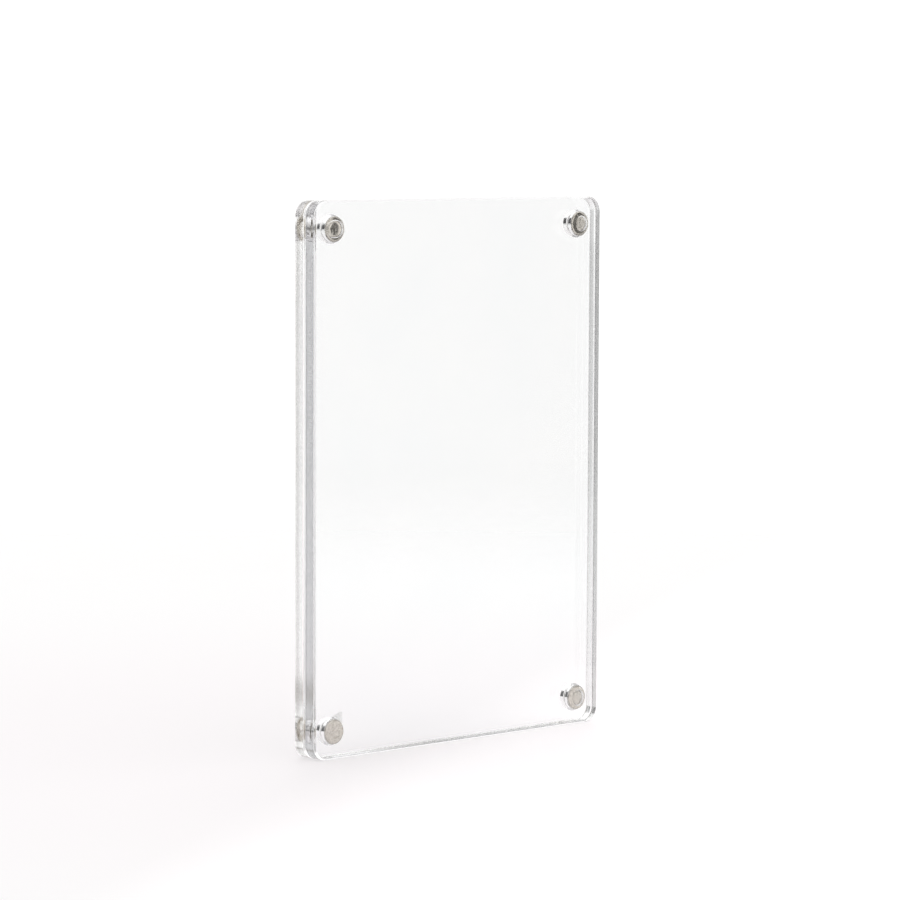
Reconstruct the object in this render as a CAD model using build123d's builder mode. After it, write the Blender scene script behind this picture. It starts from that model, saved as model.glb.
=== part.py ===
from build123d import *
import math
import os

os.makedirs("parts", exist_ok=True)

# ---------------------------------------------------------------------------
# Clear block photo frame: two acrylic plates held face to face by four pairs
# of disc magnets. Millimetres. +Z up, +X to the right seen from the front,
# the front looks along -Y. Origin: centre of the footprint, on the surface
# that the frame stands on.
# ---------------------------------------------------------------------------
FRAME_W = 127.0          # width of a plate, X
FRAME_H = 177.8          # height of a plate, Z
PANEL_T = 5.0            # thickness of one plate, Y
PANEL_GAP = 0.06         # air film between the closed plates
CORNER_R = 5.0           # rounded corners of the outline
EDGE_CHAMFER = 0.5       # polished bevel round both faces of each plate

MAGNET_D = 8.0
MAGNET_T = 3.5
MAGNET_EDGE_R = 0.4      # tumbled edge of a plated magnet
MAGNET_INSET = 9.0       # pocket centre from the side and top edges
MAGNET_INSET_FOOT = 8.7  # pocket centre from the bottom edge
MAGNET_RECESS = 0.05     # magnet face below the inner face of its plate

POCKET_D = 8.4
POCKET_CORNER_R = 0.7    # rounded corner of the cutter
POCKET_DEPTH = 4.45      # leaves a thin clear floor towards the outside
POCKET_MOUTH = 0.45      # countersink round the mouth of a pocket

BOND_CLEAR = 0.02        # the adhesive stays this far from the pocket's wall
VOID_FILM = 0.1          # adhesive left between an air void and the pocket floor

cx = FRAME_W / 2 - MAGNET_INSET
z_low = MAGNET_INSET_FOOT
z_high = FRAME_H - MAGNET_INSET
corners = {
    "top_left": (-cx, z_high),
    "top_right": (cx, z_high),
    "bottom_left": (-cx, z_low),
    "bottom_right": (cx, z_low),
}
centres = list(corners.values())

# Both plates are drawn once on a sketch plane whose local X is world X and
# local Y is world Z. Its normal points to -Y, so a positive offset is nearer
# to the front.
front_inner = PANEL_GAP / 2
back_inner = -PANEL_GAP / 2


def facing(offset):
    """Plane facing the front at the given distance in front of the mid plane."""
    return Plane(origin=(0, -offset, 0), x_dir=(1, 0, 0), z_dir=(0, -1, 0))


# ---------------------------------------------------------------------------
# front plate: inner face at y = -gap/2, outer face at y = -(gap/2 + t)
# ---------------------------------------------------------------------------
with BuildPart() as front_panel:
    with BuildSketch(facing(front_inner)):
        with Locations((0, FRAME_H / 2)):
            RectangleRounded(FRAME_W, FRAME_H, CORNER_R)
    extrude(amount=PANEL_T)
    faces = front_panel.faces().filter_by(Axis.Y)
    chamfer(faces.edges(), length=EDGE_CHAMFER)
    with BuildSketch(facing(front_inner)):
        with Locations(*centres):
            Circle(POCKET_D / 2)
    extrude(amount=POCKET_DEPTH, mode=Mode.SUBTRACT)
    floor_edges = (
        front_panel.edges()
        .filter_by(GeomType.CIRCLE)
        .filter_by_position(
            Axis.Y,
            -front_inner - POCKET_DEPTH - 0.01,
            -front_inner - POCKET_DEPTH + 0.01,
        )
    )
    fillet(floor_edges, radius=POCKET_CORNER_R)
    mouth_edges = [
        e
        for e in front_panel.edges()
        .filter_by(GeomType.CIRCLE)
        .filter_by_position(Axis.Y, -front_inner - 0.01, -front_inner + 0.01)
        if abs(e.radius - POCKET_D / 2) < 0.01
    ]
    chamfer(mouth_edges, length=POCKET_MOUTH)
front_panel.part.label = "front_panel"
export_step(front_panel.part, "parts/front_panel.step")

# ---------------------------------------------------------------------------
# back plate: the mirror image, inner face at y = +gap/2
# ---------------------------------------------------------------------------
with BuildPart() as back_panel:
    with BuildSketch(facing(back_inner)):
        with Locations((0, FRAME_H / 2)):
            RectangleRounded(FRAME_W, FRAME_H, CORNER_R)
    extrude(amount=-PANEL_T)
    faces = back_panel.faces().filter_by(Axis.Y)
    chamfer(faces.edges(), length=EDGE_CHAMFER)
    with BuildSketch(facing(back_inner)):
        with Locations(*centres):
            Circle(POCKET_D / 2)
    extrude(amount=-POCKET_DEPTH, mode=Mode.SUBTRACT)
    floor_edges = (
        back_panel.edges()
        .filter_by(GeomType.CIRCLE)
        .filter_by_position(
            Axis.Y,
            -back_inner + POCKET_DEPTH - 0.01,
            -back_inner + POCKET_DEPTH + 0.01,
        )
    )
    fillet(floor_edges, radius=POCKET_CORNER_R)
    mouth_edges = [
        e
        for e in back_panel.edges()
        .filter_by(GeomType.CIRCLE)
        .filter_by_position(Axis.Y, -back_inner - 0.01, -back_inner + 0.01)
        if abs(e.radius - POCKET_D / 2) < 0.01
    ]
    chamfer(mouth_edges, length=POCKET_MOUTH)
back_panel.part.label = "back_panel"
export_step(back_panel.part, "parts/back_panel.step")


# ---------------------------------------------------------------------------
# magnets: plain axially magnetised discs with tumbled edges. The face that
# looks at the other plate lies just below its own plate's inner face.
# ---------------------------------------------------------------------------
for side, sign, inner in (("front", 1, front_inner), ("back", -1, back_inner)):
    for where, (x, z) in corners.items():
        with BuildPart() as magnet:
            with BuildSketch(facing(inner + sign * MAGNET_RECESS)):
                with Locations((x, z)):
                    Circle(MAGNET_D / 2)
            extrude(amount=sign * MAGNET_T)
            fillet(magnet.edges().filter_by(GeomType.CIRCLE), radius=MAGNET_EDGE_R)
        magnet.part.label = f"{side}_magnet_{where}"
        export_step(magnet.part, f"parts/{side}_magnet_{where}.step")

# ---------------------------------------------------------------------------
# adhesive: it fills the space between a pocket's floor and its magnet. In six
# of the pockets a domed void of air stayed trapped against the magnet's face;
# the bond at the bottom left of the front and the top right of the back is
# full.
# ---------------------------------------------------------------------------
bond_t = POCKET_DEPTH - MAGNET_RECESS - MAGNET_T
print(f"adhesive thickness {bond_t:.2f} mm")

# offset of the void's centre in X and Z, its radius at the magnet, and the
# share of that radius which is flat on top
voids = {
    ("front", "top_left"): (-0.05, 0.05, 3.30, 0.74),
    ("front", "top_right"): (0.50, 0.05, 2.65, 0.30),
    ("front", "bottom_right"): (0.50, -0.05, 2.70, 0.35),
    ("back", "top_left"): (0.40, -0.30, 2.45, 0.30),
    ("back", "bottom_left"): (-0.60, 0.50, 2.05, 0.20),
    ("back", "bottom_right"): (0.30, 0.40, 2.50, 0.10),
}

for side, sign, inner in (("front", 1, front_inner), ("back", -1, back_inner)):
    for where, (x, z) in corners.items():
        floor = inner + sign * POCKET_DEPTH                # pocket floor
        under = inner + sign * (MAGNET_RECESS + MAGNET_T)  # magnet face that looks at it
        with BuildPart() as adhesive:
            with BuildSketch(facing(under)):
                with Locations((x, z)):
                    Circle(POCKET_D / 2 - BOND_CLEAR)
            extrude(amount=sign * bond_t)
            rims = adhesive.edges().filter_by(GeomType.CIRCLE).sort_by(Axis.Y)
            fillet(rims[0] if sign > 0 else rims[-1], radius=POCKET_CORNER_R)
            if (side, where) in voids:
                ox, oz, r, flat = voids[side, where]
                top = bond_t - VOID_FILM
                # local X is radial, local Y rises from the magnet to the pocket floor
                section = Plane(
                    origin=(x + ox, -under, z + oz), x_dir=(1, 0, 0), z_dir=(0, 0, -sign)
                )
                with BuildSketch(section):
                    with BuildLine():
                        Line((0, 0), (r, 0))
                        EllipticalCenterArc((r * flat, 0), r * (1 - flat), top, start_angle=0, arc_size=90)
                        Line((r * flat, top), (0, top))
                        Line((0, top), (0, 0))
                    make_face()
                revolve(
                    axis=Axis((x + ox, -under, z + oz), (0, -sign, 0)), mode=Mode.SUBTRACT
                )
        adhesive.part.label = f"{side}_adhesive_{where}"
        export_step(adhesive.part, f"parts/{side}_adhesive_{where}.step")
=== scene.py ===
import math
import random

import bmesh
import bpy
from mathutils import Matrix, Vector, noise as mnoise


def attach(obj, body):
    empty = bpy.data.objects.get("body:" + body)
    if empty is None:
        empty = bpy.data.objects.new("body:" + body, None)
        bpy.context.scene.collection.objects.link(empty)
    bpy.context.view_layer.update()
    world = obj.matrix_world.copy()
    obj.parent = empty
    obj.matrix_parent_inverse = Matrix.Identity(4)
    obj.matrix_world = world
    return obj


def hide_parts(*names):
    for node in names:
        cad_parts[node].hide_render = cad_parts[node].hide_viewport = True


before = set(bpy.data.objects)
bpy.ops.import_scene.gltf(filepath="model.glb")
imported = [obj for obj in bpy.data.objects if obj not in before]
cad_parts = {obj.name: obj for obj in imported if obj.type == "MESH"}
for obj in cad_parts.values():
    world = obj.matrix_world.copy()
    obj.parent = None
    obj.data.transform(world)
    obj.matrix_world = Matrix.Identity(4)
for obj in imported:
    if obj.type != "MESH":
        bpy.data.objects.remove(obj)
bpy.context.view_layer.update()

MM = 0.001
TAU = 2 * math.pi

# ---------------------------------------------------------------------------
# sizes, millimetres, the same as the construction's
# ---------------------------------------------------------------------------
FRAME_W, FRAME_H = 127.0, 177.8
PANEL_T, PANEL_GAP = 5.0, 0.06
CORNER_R, EDGE_CHAMFER = 5.0, 0.5
MAGNET_D, MAGNET_T, MAGNET_EDGE_R = 8.0, 3.5, 0.4
MAGNET_INSET, MAGNET_INSET_FOOT, MAGNET_RECESS = 9.0, 8.7, 0.05
POCKET_D, POCKET_DEPTH, POCKET_CORNER_R, POCKET_MOUTH = 8.4, 4.45, 0.7, 0.45

CX = FRAME_W / 2 - MAGNET_INSET
CORNERS = {
    "top_left": (-CX, FRAME_H - MAGNET_INSET),
    "top_right": (CX, FRAME_H - MAGNET_INSET),
    "bottom_left": (-CX, MAGNET_INSET_FOOT),
    "bottom_right": (CX, MAGNET_INSET_FOOT),
}
SEG = 128           # round the pockets and magnets
OFF = 0.004         # the adhesive's skins lie this far off the plate and the magnet


# ---------------------------------------------------------------------------
# node helpers
# ---------------------------------------------------------------------------
class Nodes:
    """Small wrapper to wire shader nodes by name."""

    def __init__(self, tree):
        self.tree = tree
        tree.nodes.clear()

    def add(self, kind, props=None, **inputs):
        n = self.tree.nodes.new(kind)
        for k, v in (props or {}).items():
            setattr(n, k, v)
        for k, v in inputs.items():
            key = int(k[1:]) if k[0] == "_" and k[1:].isdigit() else k.replace("_", " ")
            s = n.inputs[key]
            if isinstance(v, bpy.types.NodeSocket):
                self.tree.links.new(v, s)
            else:
                s.default_value = v
        return n

    def math(self, op, a, b=None, c=None, clamp=False):
        n = self.tree.nodes.new("ShaderNodeMath")
        n.operation, n.use_clamp = op, clamp
        for i, v in enumerate((a, b, c)):
            if v is None:
                continue
            if isinstance(v, bpy.types.NodeSocket):
                self.tree.links.new(v, n.inputs[i])
            else:
                n.inputs[i].default_value = v
        return n.outputs[0]

    def step(self, value, low, high, to_low=0.0, to_high=1.0):
        n = self.tree.nodes.new("ShaderNodeMapRange")
        n.interpolation_type = "SMOOTHSTEP"
        self.tree.links.new(value, n.inputs["Value"])
        n.inputs["From Min"].default_value, n.inputs["From Max"].default_value = low, high
        n.inputs["To Min"].default_value, n.inputs["To Max"].default_value = to_low, to_high
        return n.outputs[0]

    def ramp(self, fac, stops):
        n = self.tree.nodes.new("ShaderNodeValToRGB")
        e = n.color_ramp.elements
        while len(e) < len(stops):
            e.new(0.5)
        for el, (p, c) in zip(e, stops):
            el.position, el.color = p, (*c, 1.0)
        self.tree.links.new(fac, n.inputs[0])
        return n.outputs[0]

    def mix(self, fac, a, b):
        n = self.tree.nodes.new("ShaderNodeMix")
        n.data_type = "RGBA"
        for key, v in ((0, fac), (6, a), (7, b)):
            if isinstance(v, bpy.types.NodeSocket):
                self.tree.links.new(v, n.inputs[key])
            else:
                n.inputs[key].default_value = v
        return n.outputs[2]


def material(name):
    m = bpy.data.materials.new(name)
    m.use_nodes = True
    return m, Nodes(m.node_tree)


def noise(n, scale, detail=3.0, rough=0.5, stretch=None, where=None):
    """Object-space noise; scale is repeats per metre."""
    co = n.add("ShaderNodeTexCoord").outputs["Object"]
    if stretch:
        co = n.add("ShaderNodeMapping", Vector=co, Scale=stretch).outputs[0]
    return n.add("ShaderNodeTexNoise", Vector=co, Scale=scale, Detail=detail, Roughness=rough).outputs["Fac"]


# ---------------------------------------------------------------------------
# materials
# ---------------------------------------------------------------------------
def acrylic_face():
    """Cast sheet: clear, with the faintest ripple and polishing haze."""
    m, n = material("acrylic_cast_face")
    broad = noise(n, 28.0, 2.0)
    fine = noise(n, 900.0, 4.0)
    tint = n.ramp(broad, [(0.3, (0.985, 0.99, 0.992)), (0.7, (0.995, 0.997, 0.997))])
    rough = n.step(fine, 0.45, 0.75, 0.0, 0.012)
    bump = n.add("ShaderNodeBump", Height=broad, Distance=0.00002, Strength=0.25)
    p = n.add(
        "ShaderNodeBsdfPrincipled", Base_Color=tint, Roughness=rough, Normal=bump.outputs[0], IOR=1.49,
        Transmission_Weight=1.0,
    )
    n.add("ShaderNodeOutputMaterial", Surface=p.outputs[0])
    return m


def acrylic_edge(name, shade_bands, spread, side_shade):
    """Sawn and polished edges: fine lines along the edge, painted bands of light and shade at fixed depths, some haze,
    and painted shade on the upright sides.
    """
    m, n = material(name)
    co = n.add("ShaderNodeTexCoord").outputs["Object"]
    across, deep, high = n.add("ShaderNodeSeparateXYZ", Vector=co).outputs
    depth = n.math("MULTIPLY", n.math("ABSOLUTE", deep), 1000 / PANEL_T)
    lines = noise(n, 1500.0, 2.0, 0.5, (0.012, 1.6, 0.012))
    waves = noise(n, 90.0, 2.0)
    fine = noise(n, 1800.0, 3.0)
    # painted light and shade: the ramp's bright and dark bands across the edge's thickness stand in for light carried
    # along inside the plate
    tint = n.ramp(n.math("ADD", depth, n.step(lines, 0.3, 0.7, -0.03, 0.03)), shade_bands)
    # the bevels beside both faces are clearer than the sawn surface between them
    sawn = n.math("MULTIPLY", n.step(depth, 0.075, 0.125), n.step(depth, 0.885, 0.935, 1.0, 0.0))
    tint = n.mix(sawn, (0.985, 0.987, 0.99, 1.0), tint)
    haze = n.math("MULTIPLY", n.step(fine, 0.35, 0.75, 0.7 * spread, spread), n.step(sawn, 0.0, 1.0, 0.6 / spread, 1.0))
    # the polishing came out clearer towards the corners than halfway up
    middle = n.math("MULTIPLY", n.step(high, 0.014, 0.021), n.step(high, FRAME_H * MM - 0.019, FRAME_H * MM - 0.013, 1.0, 0.0))
    haze = n.math("MULTIPLY", haze, n.step(middle, 0.0, 1.0, 0.35, 1.0))
    height = n.math("MULTIPLY", n.math("ADD", lines, n.math("MULTIPLY", waves, 0.3)), n.step(sawn, 0.0, 1.0, 0.0, 1.0))
    bump = n.add("ShaderNodeBump", Height=height, Distance=0.00008, Strength=0.8)
    p = n.add(
        "ShaderNodeBsdfPrincipled", Base_Color=tint, Roughness=haze, Normal=bump.outputs[0], IOR=1.49,
        Transmission_Weight=1.0,
    )
    # painted shade: a share of black (the mix's second input stays empty) darkens the sawn part of the upright sides,
    # more on the right side of the front plate
    side = FRAME_W / 2 * MM
    shaded_sides = n.math("ADD", n.step(across, -side + 0.0005, -side + 0.004, side_shade[0], 0.0),
                   n.step(across, side - 0.004, side - 0.0005, 0.0, side_shade[1]))
    share = n.math("MULTIPLY", n.math("MULTIPLY", sawn, shaded_sides), n.step(lines, 0.3, 0.7, 0.85, 1.15))
    both = n.add("ShaderNodeMixShader", _0=share, _1=p.outputs[0])
    n.add("ShaderNodeOutputMaterial", Surface=both.outputs[0])
    return m


def acrylic_wall():
    """The bored wall of a pocket: smoother than its floor."""
    m, n = material("acrylic_bored_wall")
    fine = noise(n, 1500.0, 3.0, 0.5, (0.5, 4.0, 0.5))
    tint = n.ramp(fine, [(0.3, (0.965, 0.968, 0.965)), (0.7, (0.99, 0.99, 0.988))])
    rough = n.step(fine, 0.3, 0.75, 0.04, 0.1)
    bump = n.add("ShaderNodeBump", Height=fine, Distance=0.00002, Strength=0.4)
    p = n.add(
        "ShaderNodeBsdfPrincipled", Base_Color=tint, Roughness=rough, Normal=bump.outputs[0], IOR=1.49,
        Transmission_Weight=1.0,
    )
    n.add("ShaderNodeOutputMaterial", Surface=p.outputs[0])
    return m


def contact(name, low, high):
    """Two clear materials joined without air between them: light goes straight on, a little tinted."""
    m, n = material(name)
    cloud = noise(n, 420.0, 3.0)
    tint = n.ramp(cloud, [(0.3, low), (0.7, high)])
    p = n.add(
        "ShaderNodeBsdfPrincipled", Base_Color=tint, Roughness=0.0, IOR=1.0, Transmission_Weight=1.0,
        Specular_IOR_Level=0.0,
    )
    n.add("ShaderNodeOutputMaterial", Surface=p.outputs[0])
    return m


def adhesive_skin():
    """Free surface of cured clear adhesive: glossy, slightly rippled."""
    m, n = material("adhesive_skin")
    ripple = noise(n, 1500.0, 2.0)
    tint = n.ramp(ripple, [(0.3, (0.95, 0.948, 0.94)), (0.7, (0.985, 0.983, 0.978))])
    bump = n.add("ShaderNodeBump", Height=ripple, Distance=0.00004, Strength=0.5)
    p = n.add(
        "ShaderNodeBsdfPrincipled", Base_Color=tint, Roughness=0.04, Normal=bump.outputs[0], IOR=1.49,
        Transmission_Weight=1.0,
    )
    n.add("ShaderNodeOutputMaterial", Surface=p.outputs[0])
    return m


def adhesive_smear():
    """Thin squeezed out film: uneven and hazy."""
    m, n = material("adhesive_smear")
    ripple = noise(n, 2400.0, 4.0, 0.65)
    tint = n.ramp(ripple, [(0.3, (0.86, 0.865, 0.85)), (0.7, (0.97, 0.97, 0.965))])
    rough = n.step(ripple, 0.35, 0.65, 0.1, 0.5)
    bump = n.add("ShaderNodeBump", Height=ripple, Distance=0.0001, Strength=0.9)
    p = n.add(
        "ShaderNodeBsdfPrincipled", Base_Color=tint, Roughness=rough, Normal=bump.outputs[0], IOR=1.49,
        Transmission_Weight=1.0,
    )
    n.add("ShaderNodeOutputMaterial", Surface=p.outputs[0])
    return m


def nickel(name, low, high, smooth, rough):
    """Bright nickel plating, tumbled: soft clouds, pits and hairline rubs."""
    m, n = material(name)
    cloud = noise(n, 1100.0, 4.0, 0.65)
    pits = noise(n, 4200.0, 2.0, 0.7)
    rubs = noise(n, 1200.0, 3.0, 0.6, (1.0, 1.0, 7.0))
    colour = n.ramp(cloud, [(0.36, low), (0.64, high)])
    dark = n.step(pits, 0.64, 0.78)
    colour = n.mix(dark, colour, (0.36, 0.34, 0.32, 1.0))
    shine = n.step(rubs, 0.35, 0.7, smooth, rough)
    bump = n.add("ShaderNodeBump", Height=pits, Distance=0.00001, Strength=0.3)
    p = n.add(
        "ShaderNodeBsdfPrincipled", Base_Color=colour, Metallic=1.0, Roughness=shine, Normal=bump.outputs[0],
    )
    n.add("ShaderNodeOutputMaterial", Surface=p.outputs[0])
    return m


FACE, EDGE, WALL, WET = range(4)
cast_face, bored_wall = acrylic_face(), acrylic_wall()
wetted = contact("acrylic_wetted", (0.99, 0.988, 0.983), (0.998, 0.997, 0.995))
# each edge's ramp is painted bands of light and shade across its thickness; the last pair is painted shade on the left
# and right upright sides
sawn_edges = {
    "front": acrylic_edge(
        "acrylic_edge_front",
        [(0.10, (0.78, 0.785, 0.805)), (0.16, (0.58, 0.585, 0.615)), (0.24, (0.68, 0.685, 0.71)),
         (0.38, (0.99, 0.992, 1.0)), (0.52, (0.76, 0.765, 0.785)), (0.70, (0.84, 0.845, 0.86)),
         (0.80, (0.70, 0.705, 0.73)), (0.90, (0.98, 0.982, 0.99))],
        0.26, (0.05, 0.27)),
    "back": acrylic_edge(
        "acrylic_edge_back",
        [(0.10, (0.98, 0.98, 0.978)), (0.34, (0.99, 0.99, 0.988)), (0.46, (0.93, 0.93, 0.927)),
         (0.56, (0.72, 0.718, 0.71)), (0.66, (0.60, 0.598, 0.59)), (0.74, (0.68, 0.677, 0.67)),
         (0.84, (0.96, 0.96, 0.957)), (0.95, (0.99, 0.99, 0.988))],
        0.26, (0.0, 0.0)),
}
SKIN, JOINED, SMEAR = range(3)
bond_materials = [
    adhesive_skin(),
    contact("adhesive_joined", (0.985, 0.983, 0.975), (0.997, 0.996, 0.992)),
    adhesive_smear(),
]
nickel_materials = [
    nickel("nickel_plating", (0.48, 0.452, 0.41), (0.68, 0.65, 0.605), 0.05, 0.10),
    # painted light: a brighter, rougher copy of the same plating for the magnets' round sides, lighter than the faces
    nickel("nickel_side_painted_light", (0.74, 0.73, 0.72), (0.80, 0.79, 0.78), 0.12, 0.28),
]


# ---------------------------------------------------------------------------
# geometry helpers. A profile point is (r, t): distance from the pocket's axis
# and depth from the inner face of its plate, towards the outer face.
# ---------------------------------------------------------------------------
def pocket_profile():
    """From the floor's centre, over the rounded corner and the wall, to the rim of the countersink."""
    flat = POCKET_D / 2 - POCKET_CORNER_R
    knee = POCKET_DEPTH - POCKET_CORNER_R
    pts = [(flat * i / 12, POCKET_DEPTH) for i in range(12)]
    for i in range(17):
        f = math.pi / 2 * i / 16
        pts.append((flat + POCKET_CORNER_R * math.sin(f), knee + POCKET_CORNER_R * math.cos(f)))
    pts += [(POCKET_D / 2, knee + (POCKET_MOUTH - knee) * i / 12) for i in range(1, 13)]
    pts += [(POCKET_D / 2 + POCKET_MOUTH * i / 4, POCKET_MOUTH * (1 - i / 4)) for i in range(1, 5)]
    return pts


PROFILE = pocket_profile()
WALL_START = 28                 # index in PROFILE where the straight wall starts
LAST = len(PROFILE) - 1


def profile_at(u, off=0.0):
    """Point of the pocket's surface at index u, off clear of it into the pocket."""
    k = min(int(u), LAST - 1)
    (r0, t0), (r1, t1) = PROFILE[k], PROFILE[k + 1]
    length = math.hypot(r1 - r0, t1 - t0)
    f = u - k
    return r0 + (r1 - r0) * f + off * (t1 - t0) / length, t0 + (t1 - t0) * f - off * (r1 - r0) / length


def wall_index(t):
    """Index in PROFILE of the point of the straight wall at depth t."""
    knee = POCKET_DEPTH - POCKET_CORNER_R
    return WALL_START + 12 * (knee - t) / (knee - POCKET_MOUTH)


M_FACE = MAGNET_D / 2 - MAGNET_EDGE_R
M_TOP = MAGNET_RECESS + MAGNET_T


def periodic(values):
    """Smooth closed curve through evenly spaced values, as a function of an angle."""
    n = len(values)

    def f(angle):
        u = (angle / TAU) % 1.0 * n
        i = int(math.floor(u))
        s = u - i
        p = [values[(i + k - 1) % n] for k in range(4)]
        return 0.5 * (
            2 * p[1] + (p[2] - p[0]) * s + (2 * p[0] - 5 * p[1] + 4 * p[2] - p[3]) * s * s
            + (3 * p[1] - p[0] - 3 * p[2] + p[3]) * s ** 3
        )

    return f


def wobble(seed, size, terms=5):
    rnd = random.Random(seed)
    parts = [(k, rnd.uniform(-1, 1) * size / (k - 2), rnd.uniform(0, TAU)) for k in range(3, 3 + terms)]
    return lambda angle: sum(s * math.sin(k * angle + p) for k, s, p in parts)


# The adhesive of each pocket. low: how far down the wall it has crept beside the magnet, as depth
# from the inner face, every 45 degrees from +X; void: radius of the trapped air at the magnet, the
# same way; at: offset of the void's centre; flat: share of the radius that is flat on top; film:
# adhesive left between the void and the pocket's floor; bubbles: small ones in the solid adhesive.
BONDS = {
    ("front", "top_left"): dict(
        low=(2.2, 2.4, 2.8, 3.1, 3.2, 3.1, 2.7, 2.4), void=(3.5, 3.35, 2.95, 3.2, 3.5, 3.3, 2.95, 3.3),
        at=(-0.05, 0.05), flat=0.62, film=0.06, lump=0.04, bubbles=5),
    ("front", "top_right"): dict(
        low=(2.6, 2.8, 2.6, 3.0, 3.2, 2.8, 2.5, 2.6), void=(2.85, 2.8, 2.7, 2.5, 2.3, 2.5, 2.7, 2.8),
        at=(0.5, 0.05), flat=0.3, film=0.06, lump=0.14, bubbles=6),
    ("front", "bottom_right"): dict(
        low=(2.4, 2.6, 2.4, 2.6, 2.6, 2.4, 2.2, 2.4), void=(2.75, 2.75, 2.8, 2.7, 2.4, 2.6, 2.9, 2.9),
        at=(0.5, -0.05), flat=0.35, film=0.06, lump=0.14, bubbles=6),
    ("front", "bottom_left"): dict(low=(1.6, 1.6, 2.2, 2.9, 3.1, 2.9, 2.2, 1.8), bubbles=26),
    ("back", "top_left"): dict(
        low=(3.3, 3.4, 3.3, 3.2, 3.3, 3.4, 3.5, 3.4), void=(2.5, 2.6, 2.4, 2.2, 2.4, 2.6, 2.5, 2.4),
        at=(0.4, -0.3), flat=0.3, film=0.08, lump=0.10, bubbles=6),
    ("back", "top_right"): dict(low=(3.3, 3.2, 3.3, 3.4, 3.3, 3.2, 3.3, 3.4), bubbles=14),
    ("back", "bottom_left"): dict(
        low=(3.2, 3.3, 3.4, 3.4, 3.2, 3.3, 3.4, 3.3), void=(2.0, 2.1, 2.2, 2.0, 1.9, 2.0, 2.2, 2.1),
        at=(-0.6, 0.5), flat=0.2, film=0.1, lump=0.10, bubbles=8),
    ("back", "bottom_right"): dict(
        low=(3.4, 3.3, 3.2, 3.4, 3.4, 3.3, 3.4, 3.3), void=(2.6, 2.4, 2.5, 2.7, 2.6, 2.4, 2.3, 2.5),
        at=(0.3, 0.4), flat=0.1, film=0.06, lump=0.10, bubbles=6),
}


def creep(side, where):
    """Depth down to which the wall is wet, as a function of the angle."""
    f = periodic(BONDS[side, where]["low"])
    w = wobble(f"{side} {where}", 0.08)
    return lambda angle: min(max(f(angle) + w(angle), POCKET_MOUTH + 0.15), POCKET_DEPTH - POCKET_CORNER_R - 0.1)


def place(side, where, r, t, angle):
    x, z = CORNERS[where]
    y = PANEL_GAP / 2 + t
    return Vector((x + r * math.cos(angle), -y if side == "front" else y, z + r * math.sin(angle))) * MM


def skin(bm, rings, index, closed=True):
    """Quads between neighbouring rings of vertices."""
    faces = []
    for a, b in zip(rings, rings[1:]):
        n = len(a)
        for i in range(n if closed else n - 1):
            j = (i + 1) % n
            f = bm.faces.new((a[i], a[j], b[j], b[i]))
            f.material_index, f.smooth = index, True
            faces.append(f)
    return faces


def fan(bm, ring, centre, index):
    for i in range(len(ring)):
        f = bm.faces.new((ring[i], ring[(i + 1) % len(ring)], centre))
        f.material_index, f.smooth = index, True


def outline(inset, steps=24):
    """Rounded rectangle, counter-clockwise seen from the front, as (x, z)."""
    r = CORNER_R - inset
    pts = []
    for sx, sz, start in ((1, 0, -0.25), (1, 1, 0.0), (-1, 1, 0.25), (-1, 0, 0.5)):
        ox = sx * (FRAME_W / 2 - CORNER_R)
        oz = FRAME_H - CORNER_R if sz else CORNER_R
        for k in range(steps + 1):
            ang = TAU * (start + 0.25 * k / steps)
            pts.append((ox + r * math.cos(ang), oz + r * math.sin(ang)))
    return pts


def finish_mesh(bm, name, mats, angle=32.0, normals=True):
    if normals:
        bmesh.ops.recalc_face_normals(bm, faces=bm.faces)
    me = bpy.data.meshes.new(name)
    bm.to_mesh(me)
    bm.free()
    for m in mats:
        me.materials.append(m)
    me.set_sharp_from_angle(angle=math.radians(angle))
    ob = bpy.data.objects.new(name, me)
    bpy.context.scene.collection.objects.link(ob)
    return ob


# ---------------------------------------------------------------------------
# plates
# ---------------------------------------------------------------------------
def make_panel(side):
    bm = bmesh.new()
    sgn = -1 if side == "front" else 1

    def ring(inset, t):
        return [
            bm.verts.new(Vector((x, sgn * (PANEL_GAP / 2 + t), z)) * MM) for x, z in outline(inset)
        ]

    c, e = EDGE_CHAMFER, 0.05
    steps = [
        (c, 0.0), (c - e, e), (e, c - e), (0.0, c + 0.4 * e), (0.0, PANEL_T / 2),
        (0.0, PANEL_T - c - 0.4 * e), (e, PANEL_T - c + e), (c - e, PANEL_T - e), (c, PANEL_T),
    ]
    rim = [ring(i, t) for i, t in steps]
    skin(bm, rim, EDGE)
    outer = bm.faces.new(rim[-1])
    outer.material_index = FACE

    mouths = []
    for where in CORNERS:
        wet = creep(side, where)
        dry_n, wet_n = 20, 40
        columns = []
        for i in range(SEG):
            ang = TAU * i / SEG
            w = wall_index(wet(ang))
            col = [profile_at(LAST - (LAST - w) * k / dry_n) for k in range(dry_n + 1)]
            col += [profile_at(w * (1 - k / wet_n)) for k in range(1, wet_n)]
            columns.append([bm.verts.new(place(side, where, r, t, ang)) for r, t in col])
        rings = [[columns[i][k] for i in range(SEG)] for k in range(len(columns[0]))]
        centre = bm.verts.new(place(side, where, 0.0, POCKET_DEPTH, 0.0))
        mouths.append(rings[0])
        skin(bm, rings[:dry_n + 1], WALL)
        skin(bm, rings[dry_n:], WET)
        fan(bm, rings[-1], centre, WET)

    # inner face, with the four mouths left open
    edges = []
    for loop in [rim[0]] + mouths:
        for i in range(len(loop)):
            edges.append(bm.edges.get((loop[i], loop[(i + 1) % len(loop)])))
    made = bmesh.ops.triangle_fill(bm, use_beauty=True, use_dissolve=False, edges=edges)
    for f in made["geom"]:
        if isinstance(f, bmesh.types.BMFace):
            f.material_index, f.smooth = FACE, False
    ob = finish_mesh(bm, f"{side}_plate", [cast_face, sawn_edges[side], bored_wall, wetted])
    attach(ob, f"{side}_half")
    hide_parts(f"{side}_panel")
    return ob


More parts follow.
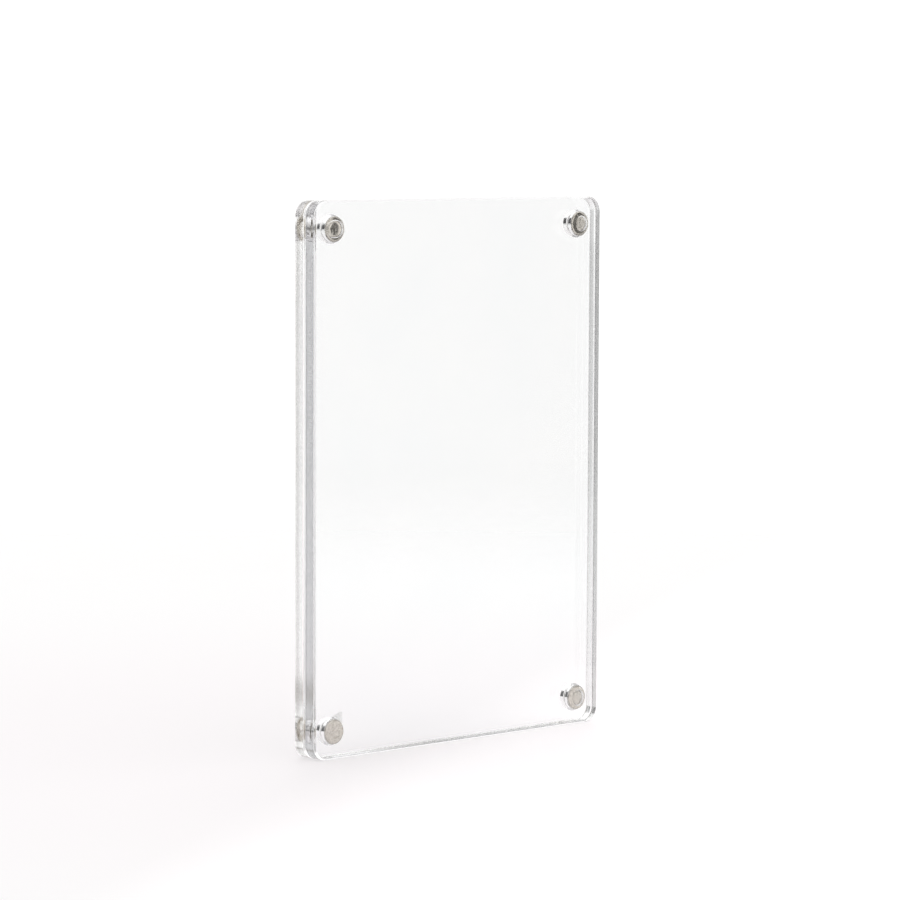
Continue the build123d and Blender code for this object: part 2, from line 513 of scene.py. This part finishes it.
# ---------------------------------------------------------------------------
# magnets
# ---------------------------------------------------------------------------
def make_magnet(side, where):
    bm = bmesh.new()
    low = MAGNET_RECESS
    prof = []
    for k in range(1, 7):
        prof.append((M_FACE * k / 6.0, M_TOP))
    for k in range(1, 9):
        f = math.pi / 2 * k / 8
        prof.append((M_FACE + MAGNET_EDGE_R * math.sin(f), M_TOP - MAGNET_EDGE_R + MAGNET_EDGE_R * math.cos(f)))
    for k in range(1, 6):
        prof.append((MAGNET_D / 2, M_TOP - MAGNET_EDGE_R - (MAGNET_T - 2 * MAGNET_EDGE_R) * k / 5))
    for k in range(1, 9):
        f = math.pi / 2 * k / 8
        prof.append((M_FACE + MAGNET_EDGE_R * math.cos(f), low + MAGNET_EDGE_R - MAGNET_EDGE_R * math.sin(f)))
    for k in range(1, 6):
        prof.append((M_FACE * (1 - k / 6.0), low))
    rings = [[bm.verts.new(place(side, where, r, t, TAU * i / SEG)) for i in range(SEG)] for r, t in prof]
    skin(bm, rings, 0)
    fan(bm, rings[0], bm.verts.new(place(side, where, 0, M_TOP, 0)), 0)
    fan(bm, rings[-1], bm.verts.new(place(side, where, 0, low, 0)), 0)
    x, z = CORNERS[where]
    # the round sides take the brighter copy of the plating, which is painted light
    for f in bm.faces:
        if all(abs(math.hypot(v.co.x / MM - x, v.co.z / MM - z) - MAGNET_D / 2) < 1e-3 for v in f.verts):
            f.material_index = 1
    ob = finish_mesh(bm, f"{side}_disc_magnet_{where}", nickel_materials)
    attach(ob, f"{side}_half")
    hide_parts(f"{side}_magnet_{where}")
    return ob


# ---------------------------------------------------------------------------
# adhesive
# ---------------------------------------------------------------------------
def add_bubble(bm, centre, size):
    """Closed bubble of air whose faces look inwards, to the air."""
    ball = bmesh.ops.create_uvsphere(bm, u_segments=16, v_segments=10, radius=size * MM,
                                     matrix=Matrix.Translation(centre))
    for f in {f for v in ball["verts"] for f in v.link_faces}:
        f.normal_flip()
        f.material_index, f.smooth = SKIN, True


def add_smear(bm, side, where, seed):
    """Adhesive squeezed out past the countersink: a thin torn film on the plate's inner face."""
    rnd = random.Random(seed)
    steps, across = 46, 10
    edge_in, edge_out = wobble(seed + " in", 0.10), wobble(seed + " out", 0.5)
    a0, a1 = math.radians(14), math.radians(74)
    columns = []
    for i in range(steps + 1):
        s = i / steps
        ang = a0 + (a1 - a0) * s
        lean = math.sin(math.pi * min(s * 1.0, 1.0)) ** 0.6
        r_in = POCKET_D / 2 + POCKET_MOUTH + 0.06 + 0.25 * abs(edge_in(ang * 6))
        r_out = r_in + 0.12 + lean * (1.15 + 1.5 * math.exp(-((s - 0.62) / 0.16) ** 2)
                                      + 0.55 * abs(edge_out(ang * 5)) + rnd.uniform(-0.12, 0.12))
        columns.append((ang, r_in, r_out))
    top, low = [], []
    for ang, r_in, r_out in columns:
        row_t, row_l = [], []
        for k in range(across + 1):
            u = k / across
            r = r_in + (r_out - r_in) * u
            x, z = CORNERS[where]
            px, pz = x + r * math.cos(ang), z + r * math.sin(ang)
            lump = mnoise.noise(Vector((px * 1.7, pz * 1.7, 3.0))) * 0.5 + mnoise.noise(Vector((px * 5, pz * 5, 9.0))) * 0.5
            thick = (0.010 + 0.020 * min(max(0.5 + lump, 0.0), 1.0)) * min(1.0, 6 * u * (1 - u) + 0.25)
            row_t.append(bm.verts.new(place(side, where, r, -OFF, ang)))
            row_l.append(bm.verts.new(place(side, where, r, -OFF - thick, ang)))
        top.append(row_t)
        low.append(row_l)
    made = []
    for i in range(steps):
        for k in range(across):
            made.append(bm.faces.new((top[i][k], top[i + 1][k], top[i + 1][k + 1], top[i][k + 1])))
            made.append(bm.faces.new((low[i][k], low[i][k + 1], low[i + 1][k + 1], low[i + 1][k])))
    for k in range(across):
        made.append(bm.faces.new((top[0][k], top[0][k + 1], low[0][k + 1], low[0][k])))
        made.append(bm.faces.new((top[-1][k + 1], top[-1][k], low[-1][k], low[-1][k + 1])))
    for i in range(steps):
        made.append(bm.faces.new((top[i + 1][0], top[i][0], low[i][0], low[i + 1][0])))
        made.append(bm.faces.new((top[i][-1], top[i + 1][-1], low[i + 1][-1], low[i][-1])))
    for f in made:
        f.material_index, f.smooth = SMEAR, True
    bmesh.ops.recalc_face_normals(bm, faces=made)


def make_bond(side, where):
    """Fills the pocket over the magnet and a sleeve beside it, round a domed void of trapped air."""
    spec = BONDS[side, where]
    bm = bmesh.new()
    wet = creep(side, where)
    void = periodic(spec["void"]) if "void" in spec else None
    ragged = wobble(f"void {side} {where}", 0.05)
    ox, oz = spec.get("at", (0.0, 0.0))
    hi = POCKET_DEPTH - spec.get("film", 0.0)
    lo = M_TOP + OFF
    lump = spec.get("lump", 0.0)
    seed = 10.0 * list(BONDS).index((side, where))

    def dome(r, t, ang):
        """Free surface of the void, slightly uneven."""
        x, z = ox + r * math.cos(ang), oz + r * math.sin(ang)
        share = min((t - lo) / (hi - lo), 1.0)
        n = mnoise.noise(Vector((x * 1.3, z * 1.3, seed))) + 0.4 * mnoise.noise(Vector((x * 3.5, z * 3.5, seed + 5)))
        return t - lump * share * abs(n)

    n_out, n_men, n_dome = 44, 5, 26
    columns, n_join = [], 0
    for i in range(SEG):
        ang = TAU * i / SEG
        t0 = wet(ang)
        w = wall_index(t0)
        col = [(*profile_at(w * j / n_out, OFF), 0.0) for j in range(1, n_out + 1)]
        # hollow meniscus across the clearance beside the magnet
        ra, rb = col[-1][0], MAGNET_D / 2 + OFF
        for j in range(1, n_men + 1):
            u = j / n_men
            col.append((ra + (rb - ra) * u, t0 + (ra - rb) * u * (1 - u), 0.0))
        # up the side of the magnet, round its edge and in over its face
        for j in range(1, 6):
            col.append((rb, t0 + (M_TOP - MAGNET_EDGE_R - t0) * j / 5, 0.0))
        for j in range(1, 9):
            f = math.pi / 2 * j / 8
            e = MAGNET_EDGE_R + OFF
            col.append((M_FACE + e * math.cos(f), M_TOP - MAGNET_EDGE_R + e * math.sin(f), 0.0))
        if void:
            vr = void(ang) + ragged(ang)
            flat = spec["flat"] * vr
            for j in range(1, 6):
                u = j / 5
                col.append((M_FACE * (1 - u) + vr * u, lo, u))
            n_join = len(col)
            for j in range(1, n_dome):
                f = math.pi / 2 * j / n_dome
                r, t = flat + (vr - flat) * math.cos(f), lo + (hi - lo) * math.sin(f)
                col.append((r, dome(r, t, ang), 1.0))
            for j in range(6):
                r = flat * (1 - j / 6)
                col.append((r, dome(r, hi, ang), 1.0))
        else:
            for j in range(1, 9):
                col.append((M_FACE * (1 - j / 9), lo, 0.0))
            n_join = len(col)
        shift = Vector((ox, 0.0, oz)) * MM
        columns.append([bm.verts.new(place(side, where, r, t, ang) + shift * u) for r, t, u in col])
    rings = [[columns[i][k] for i in range(SEG)] for k in range(len(columns[0]))]
    skin(bm, rings[:n_out], JOINED)
    skin(bm, rings[n_out - 1:n_out + n_men], SKIN)
    skin(bm, rings[n_out + n_men - 1:n_join], JOINED)
    fan(bm, rings[0], bm.verts.new(place(side, where, 0, POCKET_DEPTH - OFF, 0)), JOINED)
    if void:
        skin(bm, rings[n_join - 1:], SKIN)
        tip = bm.verts.new(place(side, where, 0, dome(0, hi, 0), 0) + Vector((ox, 0.0, oz)) * MM)
        fan(bm, rings[-1], tip, SKIN)
    else:
        fan(bm, rings[-1], bm.verts.new(place(side, where, 0, lo, 0)), JOINED)
    bmesh.ops.recalc_face_normals(bm, faces=bm.faces)

    # small bubbles in the solid adhesive, clear of the void
    rnd = random.Random(f"bubbles {side} {where}")
    for _ in range(spec["bubbles"]):
        ang = rnd.uniform(0, TAU)
        size = rnd.choice((0.05, 0.06, 0.07, 0.09, 0.12))
        if void:
            # the void's rim as seen from the pocket's axis
            rim = max(math.hypot(ox + void(a) * math.cos(a), oz + void(a) * math.sin(a))
                      for a in (ang - 0.2, ang, ang + 0.2))
            inner, outer = rim + 0.15 + size, M_FACE - 0.05
            if outer - inner < 0.05:
                continue
        else:
            inner, outer = 0.0, M_FACE - 0.1
        rr = math.sqrt(rnd.uniform(inner ** 2, outer ** 2))
        t = rnd.uniform(M_TOP + 0.03 + size, POCKET_DEPTH - 0.03 - size)
        add_bubble(bm, place(side, where, rr, t, ang), size)
    if (side, where) == ("front", "bottom_left"):
        add_smear(bm, side, where, "squeezed out")
    ob = finish_mesh(bm, f"{side}_bond_{where}", bond_materials, angle=60, normals=False)
    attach(ob, f"{side}_half")
    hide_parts(f"{side}_adhesive_{where}")
    return ob


for side in ("front", "back"):
    make_panel(side)
    for where in CORNERS:
        make_magnet(side, where)
        make_bond(side, where)


# ---------------------------------------------------------------------------
# camera: yaw 43 degrees, 5 degrees down
# ---------------------------------------------------------------------------
YAW, PITCH, ROLL = 0.750038929, 0.0875148545, 0.0040088068
CAM_AT = Vector((-0.847279, -0.908760, 0.204563))
FOCAL_PX = 3808.687

fwd = Vector((math.sin(YAW) * math.cos(PITCH), math.cos(YAW) * math.cos(PITCH), -math.sin(PITCH)))
right = Vector((math.cos(YAW), -math.sin(YAW), 0))
up = right.cross(fwd)
right2 = math.cos(ROLL) * right + math.sin(ROLL) * up
up2 = -math.sin(ROLL) * right + math.cos(ROLL) * up
cam_data = bpy.data.cameras.new("camera")
cam_data.sensor_width = 36.0
cam_data.lens = FOCAL_PX / 900 * 36.0
cam_data.clip_start, cam_data.clip_end = 0.05, 60.0
cam = bpy.data.objects.new("camera", cam_data)
bpy.context.scene.collection.objects.link(cam)
rot = Matrix((
    (right2.x, up2.x, -fwd.x, CAM_AT.x),
    (right2.y, up2.y, -fwd.y, CAM_AT.y),
    (right2.z, up2.z, -fwd.z, CAM_AT.z),
    (0, 0, 0, 1),
))
cam.matrix_world = rot
bpy.context.scene.camera = cam

# ---------------------------------------------------------------------------
# floor
# ---------------------------------------------------------------------------
# A pale table top, lit from below a little as light tables are, so that the clear
# foot of the frame throws no hard shadow. It thins out towards its rim, far away.
m, n = material("pale_floor")
co = n.add("ShaderNodeTexCoord").outputs["Object"]
reach = n.add("ShaderNodeVectorMath", {"operation": "LENGTH"}, _0=co).outputs["Value"]
cloud = noise(n, 3.0, 2.0)
tint = n.ramp(cloud, [(0.3, (0.995, 0.99, 0.99)), (0.7, (1.0, 0.997, 0.997))])
# painted shade: the floor's colour, and its glow, turn darker and pinker within 0.1 m of the frame, fading out by 0.42
# m
tint = n.mix(n.step(reach, 0.10, 0.42, 1.0, 0.0), tint, (0.99, 0.962, 0.972, 1.0))
fx, fy, _ = n.add("ShaderNodeSeparateXYZ", Vector=co).outputs
# painted light and shade: the floor glows more in front of the frame than behind it, lifting the shadow ahead of its
# foot and leaving a soft painted shadow behind
ahead = n.math("ADD", n.math("MULTIPLY", fx, 0.5), n.math("MULTIPLY", fy, -0.85))
shade = n.mix(0.74, tint, (0.0, 0.0, 0.0, 1.0))
p = n.add(
    "ShaderNodeBsdfPrincipled", Base_Color=shade, Roughness=0.6, Specular_IOR_Level=0.1,
    Emission_Color=tint, Emission_Strength=n.step(ahead, -0.025, 0.03, 0.645, 0.77),
)
clear = n.add("ShaderNodeBsdfTransparent")
both = n.add("ShaderNodeMixShader", _0=n.step(reach, 0.42, 0.85), _1=p.outputs[0], _2=clear.outputs[0])
n.add("ShaderNodeOutputMaterial", Surface=both.outputs[0])
bm = bmesh.new()
bmesh.ops.create_circle(bm, cap_ends=True, segments=128, radius=1.0)
me = bpy.data.meshes.new("floor")
bm.to_mesh(me)
bm.free()
me.materials.append(m)
floor = bpy.data.objects.new("floor", me)
floor.location = (0, 0, -0.00005)
bpy.context.scene.collection.objects.link(floor)

# ---------------------------------------------------------------------------
# surroundings: bright all round and overhead, dimmer towards the room in front,
# with a dark opening of the studio at the front right and one at the back left
# ---------------------------------------------------------------------------
BASE, BASE_LOW = 1.135, 1.02
ZONES = [
    (-97, -76, 50, 62, -90, -80, 22, 40, 0.31),
    (52, 62, 100, 115, -25, -15, 20, 35, -0.35),
    (-80, -68, -25, -10, -60, -40, 25, 40, 0.37),
    (-62, -52, -36, -26, -12, -6, 10, 18, 0.6),
    (26, 32, 38, 39.5, -13, -10, 4, 9, -0.7),
    (38.5, 40.5, 45.5, 48, -6.2, -5.2, 12, 20, 0.84),
    (-152, -146, -130, -126, -1.5, 1, 36, 44, 0.95),
    (-154, -148, -126, -118, -11, -4, 1, 2.5, 0.36),
    (-125, -118, -106, -97, -60, -40, 30, 45, 0.3),
]
world = bpy.data.worlds.new("studio")
world.use_nodes = True
bpy.context.scene.world = world
n = Nodes(world.node_tree)
d = n.add("ShaderNodeTexCoord").outputs["Generated"]
xyz = n.add("ShaderNodeSeparateXYZ", Vector=d)
dx, dy, dz = xyz.outputs
DEG = math.pi / 180
elev = n.math("ARCSINE", dz)
flat = n.math("MULTIPLY", dy, -1.0)
azim = n.math("ARCTAN2", dx, flat)                       # from -Y towards +X


def zone(a0, a1, b0, b1, e0, e1, e2, e3, dark):
    """Factor that dims part of the surroundings: azimuth ramps a0-a1 and b0-b1, elevation ramps the same."""
    mid = (a0 + b1) / 2
    rel = n.math("SUBTRACT", azim, mid * DEG)
    rel = n.math("ARCTAN2", n.math("SINE", rel), n.math("COSINE", rel))
    f = n.math("MULTIPLY", n.step(rel, (a0 - mid) * DEG, (a1 - mid) * DEG),
               n.step(rel, (b0 - mid) * DEG, (b1 - mid) * DEG, 1.0, 0.0))
    f = n.math("MULTIPLY", f, n.step(elev, e0 * DEG, e1 * DEG))
    f = n.math("MULTIPLY", f, n.step(elev, e2 * DEG, e3 * DEG, 1.0, 0.0))
    return n.math("SUBTRACT", 1.0, n.math("MULTIPLY", f, dark))


level = n.math("ADD", n.step(elev, -6.3 * DEG, -5.1 * DEG, BASE_LOW, BASE), n.step(elev, 45 * DEG, 65 * DEG, 0.0, 0.3))
for spec in ZONES:
    level = n.math("MULTIPLY", level, zone(*spec))
bg = n.add("ShaderNodeBackground", Color=(1.0, 0.995, 0.99, 1.0), Strength=level)
n.add("ShaderNodeOutputWorld", Surface=bg.outputs[0])

scene = bpy.context.scene
scene.view_settings.view_transform = "Standard"
scene.view_settings.look = "None"
scene.view_settings.exposure = 0.0
scene.view_settings.gamma = 1.0
cy = scene.cycles
cy.max_bounces = 64
cy.diffuse_bounces = 4
cy.glossy_bounces = 64
cy.transmission_bounces = 64
cy.transparent_max_bounces = 32
